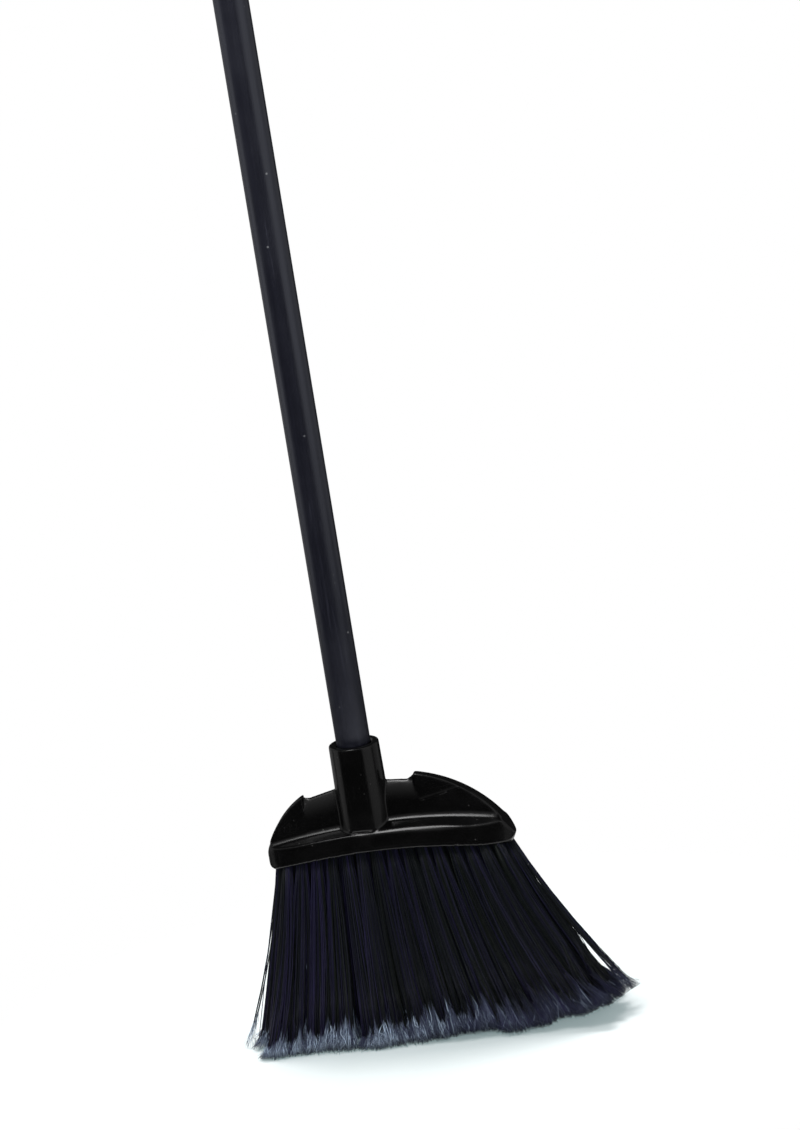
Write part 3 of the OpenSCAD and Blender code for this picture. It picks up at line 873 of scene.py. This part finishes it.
class BROOM_OT_sleeve(BroomStep, bpy.types.Operator):
    """Models the vinyl sleeve with its turned-in ends"""

    bl_idname = "broom.sleeve"
    bl_label = "Vinyl Sleeve"

    def execute(self, context):
        handle = context.scene.broom_handle
        sleeve = cylinder(96, handle.radius, handle.low_z, handle.high_z, "NOTHING")
        mend_normals(sleeve)
        apply_modifier(sleeve, "SOLIDIFY", thickness=handle.sleeve_t, offset=-1.0)
        round_edges(sleeve, 0.16 * MM, 3, 40.0)
        smooth_by_angle(sleeve, 35)
        hand_over(sleeve, "handle_sleeve", "handle", "handle_vinyl", vinyl(handle), "vinyl_sleeve")
        return {"FINISHED"}


class BROOM_OT_hanger_tip(BroomStep, bpy.types.Operator):
    """Models the rounded hanger tip with its eased hang hole and its spigot"""

    bl_idname = "broom.hanger_tip"
    bl_label = "Hanger Tip"

    def execute(self, context):
        handle = context.scene.broom_handle
        ledge, spigot_h, hole_round = 1.3 * MM, 25 * MM, 0.6 * MM
        tip = cylinder(96, handle.tip_r, handle.high_z, handle.top_z)
        edit(tip)
        pick(tip, "FACE", lambda middle, normal: normal.z < -0.9)
        bpy.ops.mesh.inset(thickness=ledge)
        draw_out(-spigot_h)
        pick(tip, "EDGE", lambda a, b: min(a.z, b.z) > handle.top_z - 1e-5)
        bpy.ops.mesh.bevel(offset=handle.tip_round, segments=12, affect="EDGES")
        leave()
        deselect()
        bpy.ops.mesh.primitive_cylinder_add(vertices=64, radius=handle.hole_r, depth=4 * handle.radius,
                                            location=(0, 0, handle.top_z - handle.hole_drop),
                                            rotation=(math.pi / 2, 0, 0))
        drill = context.active_object
        apply_modifier(tip, "BOOLEAN", operation="DIFFERENCE", object=drill, solver="EXACT")
        bpy.data.objects.remove(drill)
        round_edges(tip, hole_round, 3, 50.0)
        mend_normals(tip)
        smooth_by_angle(tip, 30)
        black = moulded_plastic("tip_plastic", TIP_BLACK, 0.36, 0.08)
        hand_over(tip, "handle_tip", "handle", "tip_plastic", black, "hanger_tip")
        return {"FINISHED"}


class BROOM_OT_inner_parts(BroomStep, bpy.types.Operator):
    """Gives the inner solids, which keep their own shapes, their finishes"""

    bl_idname = "broom.inner_parts"
    bl_label = "Inner Parts"

    def execute(self, context):
        finishes = {
            "handle_tube": drawn_steel(),
            "thread_ferrule": moulded_plastic("ferrule_plastic", FERRULE_BLACK, 0.45),
            "tuft_block": moulded_plastic("block_plastic", BLOCK_BLACK, 0.5, 0.08),
            "tuft_anchors": anchor_wire(),
        }
        for name, material in finishes.items():
            dress(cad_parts[name], material)
        return {"FINISHED"}


# Bristles

FLAGS, BODY_CUTS, FLAG_CUTS = 4, 5, 3
# Groups of a tuft's filaments that share a course, and smaller ones that share a tone
CLUMPS, WISPS = 6, 40
FRONT_LIMIT = 38.5 * MM
ROOT_DEPTH = 3.0 * MM
# How much further the feet of the outer rows stand out at the left end
LEFT_SPLAY = 0.15
# The worn foot: how its rise steepens, its dent and its ripple
RISE_POWER = 2.6
DENT_X, DENT_W, DENT_H = 52 * MM, 22 * MM, 3.6 * MM
RIPPLE_H = 1.2 * MM
# Depth of the floor that a tuft covers, in row pitches, and the share of an outer row's filaments that lean outwards
MIDDLE_CELL, OUTER_CELL, OUTWARD_SHARE = 0.85, 0.575, 0.8
# How far clumps draw together, and how wide a tuft is on its outer side at the left end, between and at the right end
GATHER, OUTER_WIDTH = 0.45, {-1: 0.9, 0: 1.0, 1: 0.4}
# Random drift of a tuft's foot and a filament's, bows of a filament and a clump, splay, curl and lift of the flags
TUFT_DRIFT, FOOT_DRIFT, OWN_BOW, CLUMP_BOW = 1.0 * MM, 0.7 * MM, 0.8 * MM, 0.9 * MM
FLAG_SPLAY, FLAG_CURL, FLAG_LIFT = 1.8 * MM, 0.9 * MM, 2.0 * MM
# How many filaments stand off the tuft at the left and at the right end, and how far
STRAYS, STRAY_REACH = {-1: 6, 1: 30}, {-1: (1.18, 1.3), 1: (0.3, 0.6)}
# The waist of the tufts at the right end: its depth, its place down the tuft and its length
PINCH, PINCH_AT, PINCH_RUN = 7.5 * MM, 0.84, 0.09
# Some flags are bold: their share, and how much more they curl, how much thicker and how much paler they are
BOLD_SHARE, BOLD_CURL, BOLD_GIRTH, BOLD_FADE = 0.08, 2.6, 1.9, 2.2
# Powers by which a filament leaves its root: a usual one and a late one
FLUFF_POWER, LATE_POWER = 1.4, 1.7
# Height of the painted shade and soil on the tips, and the length over which it fades
SHADE_AND_SOIL_H, SHADE_AND_SOIL_FADE = 2.5 * MM, 1.0 * MM
FLAG_TINT = 0.75


def ramp(value, start, run):
    """0 up to a start, and evenly up to 1 over a run."""
    return np.clip((value - start) / run, 0, 1)


def nearest(points, leaders):
    """Number of the leader that is nearest to each point."""
    return np.argmin(((points[:, None] - leaders[None]) ** 2).sum(2), 1)


def tuft_ends(cap, bristle, row, number):
    """Where a tuft leaves its block, and the middle of its foot."""
    middle = (cap.right - cap.left) / 2
    span = (bristle.middle_tufts - 1) * bristle.pitch
    x = middle - span / 2 + bristle.pitch * (number + (0 if row == MIDDLE else 0.5))
    root = np.array([x, (row - MIDDLE) * bristle.row_pitch, arch_z(cap, x, cap.edge_z + bristle.recess)])
    foot_x = (bristle.foot_right - bristle.foot_left) / 2 + (x - middle) * (
        bristle.foot_right + bristle.foot_left) / span
    splay = 1 + LEFT_SPLAY * max(0.0, -foot_x / bristle.foot_left)
    return root, np.array([foot_x, (row - MIDDLE) * bristle.foot_row_pitch * splay, 0.0])


def foot_z(bristle, x, y):
    """Height of the worn foot above the floor: it rises to the right, most in front, after a shallow dent."""
    rise = np.maximum(0, (x - bristle.foot_right + bristle.rise_run) / bristle.rise_run) ** RISE_POWER
    front = 0.6 + 0.4 * ramp(-y, 0, 30 * MM)
    dent = np.exp(-((x - DENT_X) / DENT_W) ** 2)
    ripple = 0.5 + 0.3 * np.sin(x / (8.3 * MM)) + 0.2 * np.sin(x / (3.7 * MM) + 1)
    coarse = 1 + 1.6 * ramp(x, 60 * MM, 50 * MM)
    return bristle.foot_rise * rise * front + DENT_H * dent + RIPPLE_H * ripple * coarse


def flagged_filament():
    """One upright three-sided filament, one unit tall, and its split tips as further prisms of the same height.

    Gives the finished model's corners, the part that each belongs to, and its faces as lists of corners."""
    corners, parts, faces = [], [], []
    for part in range(1 + FLAGS):
        model = cylinder(3, 1, 0, 1)
        cuts = FLAG_CUTS if part else BODY_CUTS
        edit(model)
        for number in range(1, cuts):
            cut((0, 0, number / cuts), (0, 0, 1))
        leave()
        faces += [[len(corners) + v for v in face.vertices] for face in model.data.polygons]
        corners += [tuple(vert.co) for vert in model.data.vertices]
        parts += [part] * len(model.data.vertices)
        bpy.data.objects.remove(model)
    return np.array(corners), np.array(parts), faces


def filament_courses(bristle, root, foot, row, end, seed):
    """Random course of each filament of a tuft: where it starts, ends, bows and splits, and its tones.

    The filaments gather in clumps that split into a cone of flags. A tuft at an end of its row (-1 or 1) is narrow on
    its outer side, and in the middle row a few of its filaments stand off it."""
    draw = np.random.default_rng(seed)
    count, inner = bristle.filaments, row == MIDDLE
    square = draw.uniform(-1, 1, (count, 2))
    disc = square * np.sqrt(1 - square[:, ::-1] ** 2 / 2)
    if not inner:
        deep = np.abs(square[:, 1])
        square[:, 1] = (row - MIDDLE) * np.where(draw.random(count) < OUTWARD_SHARE, np.sqrt(deep), -deep)
    leaders = square[:CLUMPS]
    clump, wisp = nearest(square, leaders), nearest(square, square[:WISPS])
    off = square - leaders[clump]
    near = np.clip(1 - np.hypot(*(off / 0.75).T), 0, 1)
    cell = np.array([bristle.foot_cell / 2, (MIDDLE_CELL if inner else OUTER_CELL) * bristle.foot_row_pitch])
    width = np.where(square[:, 0] * end > 0, OUTER_WIDTH[end], 1.0)
    outer = np.column_stack([width, np.ones(count)])

    course = SimpleNamespace(late=np.zeros(count))
    course.start = root[:2] + disc * bristle.root_r
    course.middle = foot[:2] - root[:2] + draw.normal(0, TUFT_DRIFT, 2) * (end == 0)
    course.spread = (square - GATHER * off) * cell * outer + draw.normal(0, FOOT_DRIFT, (count, 2))
    course.spread -= disc * bristle.root_r
    course.part = GATHER * off * cell * outer
    course.bow = draw.normal(0, OWN_BOW, (count, 2)) + draw.normal(0, CLUMP_BOW, (CLUMPS, 2))[clump]
    course.pinch = PINCH * (end > 0) * np.clip(0.5 + 0.6 * square[:, 0], 0, 1)
    if end > 0:
        course.spread[:, 0] -= bristle.end_inset * (1.0 if inner else 0.4)
    if end and inner:
        few = STRAYS[end]
        course.start[:few, 0] = root[0] + end * bristle.root_r * draw.uniform(0.8, 1.2, few)
        course.spread[:few, 0] = end * cell[0] * draw.uniform(*STRAY_REACH[end], few)
        course.spread[:few, 1] *= 0.4
        course.bow[:few] *= 0.3
        course.late[:few] = float(end < 0)
        course.pinch[:few] = 0.0

    foot_x, foot_y = (foot[:2] + course.spread).T
    left, right = ramp(-foot_x, -40 * MM, 120 * MM), ramp(foot_x, -40 * MM, 110 * MM)
    rough = 0.35 + 0.6 * ramp(foot_x, 0, 90 * MM)
    course.tip_z = foot_z(bristle, foot_x, foot_y) + np.abs(draw.normal(0, 1.0, count)) * rough * MM
    tall = (0.3 + 0.9 * draw.random(CLUMPS))[clump] * near ** 1.5 + 0.15 * draw.random(count)
    longest = bristle.flag_max * (1.05 + 0.15 * right)
    course.flag = bristle.flag_min + (longest - bristle.flag_min) * np.clip(tall, 0, 1)
    vivid = (0.5 * draw.random(WISPS)[wisp] + 0.5 * draw.random(count)) < 0.32 + 0.18 * left
    course.tint = np.where(vivid, draw.uniform(0.45, 1.0, count), draw.uniform(0, 0.25, count))
    streaky = 0.2 + 0.6 * (draw.random(WISPS) ** 1.5)[wisp] + 0.3 * draw.random(count)
    course.bleach = (1.12 - 0.74 * right) * (0.75 + 0.8 * near ** 2) * streaky
    course.bloom = 1.0 - 0.8 * right
    course.dull = 1.0 - 0.80 * ramp(foot_x, 40 * MM, 60 * MM)
    course.splay = draw.normal(0, FLAG_SPLAY, (count, FLAGS, 2))
    bold = draw.random((count, FLAGS)) < BOLD_SHARE
    course.curl = draw.normal(0, FLAG_CURL, (count, FLAGS, 2)) * np.where(bold, BOLD_CURL, 1.0)[:, :, None]
    course.girth = np.where(bold, BOLD_GIRTH, 1.0)
    course.phase = 2 * np.pi * draw.random((count, FLAGS))
    course.lift = draw.random((count, FLAGS)) ** 3 * FLAG_LIFT
    course.fade = np.where(bold, BOLD_FADE, draw.uniform(0.5, 1.1, (count, FLAGS)))
    course.spin = 2 * np.pi * draw.random(count)
    return course


def copied_mesh(name, place, faces):
    """A mesh of copies of a model with given faces, from the places of each copy's corners."""
    count, corners = place.shape[:2]
    mesh = bpy.data.meshes.new(name)
    sizes = np.tile([len(face) for face in faces], count)
    loops = np.concatenate([face[::-1] for face in faces])
    loops = (loops[None, :] + corners * np.arange(count)[:, None]).ravel()
    mesh.vertices.add(count * corners)
    mesh.vertices.foreach_set("co", place.astype(np.float32).ravel())
    mesh.loops.add(len(loops))
    mesh.loops.foreach_set("vertex_index", loops.astype(np.int32))
    mesh.polygons.add(len(sizes))
    mesh.polygons.foreach_set("loop_start", (np.cumsum(sizes) - sizes).astype(np.int32))
    mesh.update(calc_edges=True)
    return mesh


def tuft_mesh(name, bristle, model, root, foot, row, end, seed):
    """A tuft's mesh: the model filament bent along each course, with its tones as attributes."""
    corners, parts, faces = model
    course = filament_courses(bristle, root, foot, row, end, seed)
    root_z = root[2] + ROOT_DEPTH
    tall = (root_z - course.tip_z)[:, None]
    split = 1 - course.flag[:, None] / tall
    across_x, across_y, along = corners.T[:, None]
    loose = np.where(parts[None, :] > 0, along, 0.0)
    down = np.where(parts[None, :] == 0, along * split, split + along * (1 - split))
    late = course.late[:, None]
    fluff = (1 - late) * (1 - (1 - down) ** FLUFF_POWER) + late * down ** LATE_POWER
    flag_part = np.maximum(parts - 1, 0)
    girth = np.where(parts == 0, 1.0, course.girth[:, flag_part])
    thick = bristle.thickness * girth * np.where(parts == 0, 1.0, 0.55 - 0.30 * corners[:, 2])
    c, s = np.cos(course.spin)[:, None], np.sin(course.spin)[:, None]
    ring = (across_x * c - across_y * s, across_x * s + across_y * c)
    wave = np.sin(2.5 * np.pi * loose + course.phase[:, flag_part]) * np.sqrt(loose)
    place = np.zeros((len(course.start), len(corners), 3))
    for axis in (0, 1):
        place[:, :, axis] = (
            course.start[:, axis, None] + course.middle[axis] * down * (0.72 + 0.28 * down)
            + course.spread[:, axis, None] * fluff + course.bow[:, axis, None] * np.sin(np.pi * down)
            + course.part[:, axis, None] * loose + course.splay[:, flag_part, axis] * loose ** 1.3
            + course.curl[:, flag_part, axis] * wave + thick * ring[axis])
    place[:, :, 0] -= course.pinch[:, None] * np.exp(-((down - PINCH_AT) / PINCH_RUN) ** 2)
    place[:, :, 1] = np.clip(place[:, :, 1], -FRONT_LIMIT, FRONT_LIMIT)
    floor = foot_z(bristle, place[:, :, 0], place[:, :, 1])
    height = root_z - tall * down + course.lift[:, flag_part] * loose
    place[:, :, 2] = np.maximum(height, floor)
    mesh = copied_mesh(name, place, faces)
    dull = course.dull[:, None]
    bloom = 0.95 + course.bloom[:, None] * (0.8 * loose - 0.45)
    tones = {
        "tint": np.clip(course.tint[:, None] + (FLAG_TINT - FLAG_TINT * dull) * loose, 0, 1),
        "bleach": np.clip(course.bleach[:, None] * course.fade[:, flag_part] * bloom, 0, 1),
        "flag": loose * dull,
        # Painted shade and soil: the tips darken within a few millimetres of the floor
        "shade_and_soil": ramp(SHADE_AND_SOIL_H - place[:, :, 2] + floor, 0, SHADE_AND_SOIL_FADE),
    }
    for label, values in tones.items():
        mesh.attributes.new(label, "FLOAT", "POINT").data.foreach_set("value", values.astype(np.float32).ravel())
    mesh.validate()
    mesh.shade_smooth()
    return mesh


class BROOM_OT_tufts(BroomStep, bpy.types.Operator):
    """Models one flagged filament and copies it along the courses of every tuft"""

    bl_idname = "broom.tufts"
    bl_label = "Bristle Tufts"

    def execute(self, context):
        cap, bristle = context.scene.broom_cap, context.scene.broom_bristle
        fibre = bristle_fibre(bristle)
        model = flagged_filament()
        for row, label in enumerate(ROWS):
            tufts = bristle.middle_tufts - (row != MIDDLE)
            for number in range(tufts):
                name = f"{label}_bristles_{number + 1}"
                root, foot = tuft_ends(cap, bristle, row, number)
                end = {0: -1, tufts - 1: 1}.get(number, 0)
                mesh = tuft_mesh(name, bristle, model, root, foot, row, end, 1000 * row + number)
                tuft = bpy.data.objects.new(name, mesh)
                context.scene.collection.objects.link(tuft)
                hand_over(tuft, name, "head", "bristle_fibre", fibre, f"tuft_{label}_{number + 1}")
        return {"FINISHED"}


# Studio

FLOOR_MIDDLE = (0.03, 0.0, 0.0)
# Distance from the floor's middle at which it starts to fade, and the width of its clear rim
FADE_START, FADE_RIM = 0.20, 0.02
SENSOR, CLIP_START, CLIP_END = 36.0, 0.05, 100.0
# What gloss sees of the room: its dim walls, and what is added overhead in front
DIM_WALLS, PALE_FRONT = 0.018, 0.40
HEAD, HANDLE = (0.03, 0.0, 0.17), (0, 0, 0.4)
# What each lamp faces, its turn and lift in degrees, its distance, its size, its brightness, and whether gloss
# shows it
LAMPS = {
    "key_softbox": (HEAD, -12, 60, 1.7, (0.5, 0.5), 7.0, True),
    "side_key_softbox": (HEAD, -38, 57, 1.7, (0.4, 0.5), 4.0, True),
    "front_softbox": (HEAD, 8, 9, 2.2, (1.8, 1.2), 3.0, False),
    "top_softbox": (HEAD, 186, 73, 1.8, (0.8, 0.55), 16.9, False),
    "high_left_softbox": (HEAD, -80, 58, 1.7, (0.5, 0.5), 3.0, False),
    "right_softbox": (HANDLE, 68, 6, 1.5, (1.4, 1.8), 0.36, True),
    "far_right_softbox": (HANDLE, 120, 6, 1.5, (1.2, 1.8), 0.20, True),
    "left_softbox": (HANDLE, -86, 6, 1.5, (0.9, 1.8), 0.36, True),
    "far_left_softbox": (HANDLE, -130, 6, 1.5, (1.2, 1.8), 0.24, True),
}


def sight(turn, lift):
    """Direction from what is looked at to where it is seen from."""
    return Vector((math.sin(turn) * math.cos(lift), -math.cos(turn) * math.cos(lift), math.sin(lift)))


def softbox(name, middle, turn, lift, distance, size, radiance, shines):
    """A soft lamp seen from middle at a turn and lift, that faces it, with an even brightness."""
    back = sight(math.radians(turn), math.radians(lift))
    bpy.ops.object.light_add(type="AREA", location=Vector(middle) + distance * back)
    lamp = bpy.context.active_object
    lamp.name = lamp.data.name = name
    lamp.rotation_euler = back.to_track_quat("Z", "Y").to_euler()
    lamp.data.shape = "RECTANGLE"
    lamp.data.size, lamp.data.size_y = size
    lamp.data.energy = math.pi * size[0] * size[1] * radiance
    lamp.visible_camera = False
    lamp.visible_glossy = shines


def studio_world(stage):
    """White to the camera, an even room light, and for gloss a dim room, paler overhead in front."""
    world = bpy.data.worlds.new("studio")
    bpy.context.scene.world = world
    world.use_nodes = True
    n = Nodes(world.node_tree)
    shade = world.node_tree.nodes["Background"]
    path = n.add("ShaderNodeLightPath").outputs
    way = n.axes(n.add("ShaderNodeTexCoord").outputs["Generated"])
    front = n.times(n.spread(way["Y"], -0.1, -0.5), n.spread(way["Z"], 0.0, 0.95))
    gloss = n.plus(DIM_WALLS, n.times(front, PALE_FRONT))
    seen = n.most(path["Is Camera Ray"], path["Is Transmission Ray"])
    shiny = n.times(path["Is Glossy Ray"], n.less(1.0, seen))
    even = n.times(n.less(1.0, n.most(seen, shiny)), stage.ambient)
    n.feed(shade, "Color", (1, 1, 1, 1))
    n.feed(shade, "Strength", n.plus(n.plus(seen, n.times(shiny, gloss)), even))
    world.cycles.sampling_method = "NONE"


def floor_finish(stage):
    """Pale floor that fades into the white room towards its rim."""
    material, n, _ = new_material("studio_floor")
    material.node_tree.nodes.clear()
    place = n.place()
    tone = n.mix(n.noise(place, 6.0, 2.0), rgba(stage.floor), rgba(stage.floor, 0.985))
    matt = n.add("ShaderNodeBsdfDiffuse", Color=tone).outputs[0]
    seen = n.add("ShaderNodeLightPath").outputs["Is Camera Ray"]
    glow = n.add("ShaderNodeEmission", Color=rgba(stage.glow), Strength=seen).outputs[0]
    lit = n.chain("ShaderNodeAddShader", {}, matt, glow)
    clear = n.add("ShaderNodeBsdfTransparent").outputs[0]
    reach = n.add("ShaderNodeVectorMath", {"operation": "LENGTH"})
    n.feed(reach, 0, place)
    fade = n.spread(reach.outputs["Value"], FADE_START, stage.floor_r - FADE_RIM)
    n.add("ShaderNodeOutputMaterial", Surface=n.chain("ShaderNodeMixShader", {}, fade, lit, clear))
    return material


def photo_camera(stage):
    """The camera at the picture's angle, tilted by its roll."""
    back = sight(stage.turn, stage.lift)
    right = Vector((math.cos(stage.turn), math.sin(stage.turn), 0))
    up = back.cross(right)
    side = right * math.cos(stage.roll) + up * math.sin(stage.roll)
    top = up * math.cos(stage.roll) - right * math.sin(stage.roll)
    bpy.ops.object.camera_add()
    camera = bpy.context.active_object
    camera.name = "photo_camera"
    pose = Matrix((side, top, back)).transposed().to_4x4()
    pose.translation = Vector(stage.aim) + stage.distance * back
    camera.matrix_world = pose
    camera.data.sensor_fit = "AUTO"
    camera.data.sensor_width = SENSOR
    camera.data.lens = stage.lens
    camera.data.clip_start, camera.data.clip_end = CLIP_START, CLIP_END
    return camera


class BROOM_OT_stage(BroomStep, bpy.types.Operator):
    """Sets the camera, the lamps and the pale floor of the picture"""

    bl_idname = "broom.stage"
    bl_label = "Studio"

    def execute(self, context):
        scene, stage = context.scene, context.scene.broom_stage
        deselect()
        scene.camera = photo_camera(stage)
        scene.view_settings.view_transform = "Standard"
        studio_world(stage)
        deselect()
        bpy.ops.mesh.primitive_circle_add(vertices=96, radius=stage.floor_r, fill_type="NGON", location=FLOOR_MIDDLE)
        floor = context.active_object
        floor.name = "studio_floor"
        dress(floor, floor_finish(stage))
        for name, lamp in LAMPS.items():
            softbox(name, *lamp)
        return {"FINISHED"}


class BROOM_PT_panel(bpy.types.Panel):
    """Lists the steps of the broom with their sizes"""

    bl_idname = "BROOM_PT_panel"
    bl_label = "Lobby Broom"
    bl_space_type = "VIEW_3D"
    bl_region_type = "UI"
    bl_category = "Broom"

    def draw(self, context):
        for settings, operators in (
            (context.scene.broom_stage, ("broom.stage",)),
            (context.scene.broom_cap, ("broom.cap",)),
            (context.scene.broom_handle, ("broom.sleeve", "broom.hanger_tip", "broom.inner_parts")),
            (context.scene.broom_bristle, ("broom.tufts",)),
        ):
            box = self.layout.box()
            for operator in operators:
                box.operator(operator)
            for name in settings.__annotations__:
                box.prop(settings, name)


SETTINGS = {
    "broom_cap": BroomCapSizes,
    "broom_handle": BroomHandleSizes,
    "broom_bristle": BroomBristleSizes,
    "broom_stage": BroomStageSizes,
}
CLASSES = (
    *SETTINGS.values(), BROOM_OT_stage, BROOM_OT_cap, BROOM_OT_sleeve, BROOM_OT_hanger_tip, BROOM_OT_inner_parts,
    BROOM_OT_tufts, BROOM_PT_panel,
)


def register():
    for item in CLASSES:
        bpy.utils.register_class(item)
    for name, group in SETTINGS.items():
        setattr(bpy.types.Scene, name, PointerProperty(type=group))


def unregister():
    for name in SETTINGS:
        delattr(bpy.types.Scene, name)
    for item in reversed(CLASSES):
        bpy.utils.unregister_class(item)


def main():
    register()
    bpy.ops.broom.stage()
    bpy.ops.broom.cap()
    bpy.ops.broom.sleeve()
    bpy.ops.broom.hanger_tip()
    bpy.ops.broom.inner_parts()
    bpy.ops.broom.tufts()


if __name__ == "__main__":
    main()
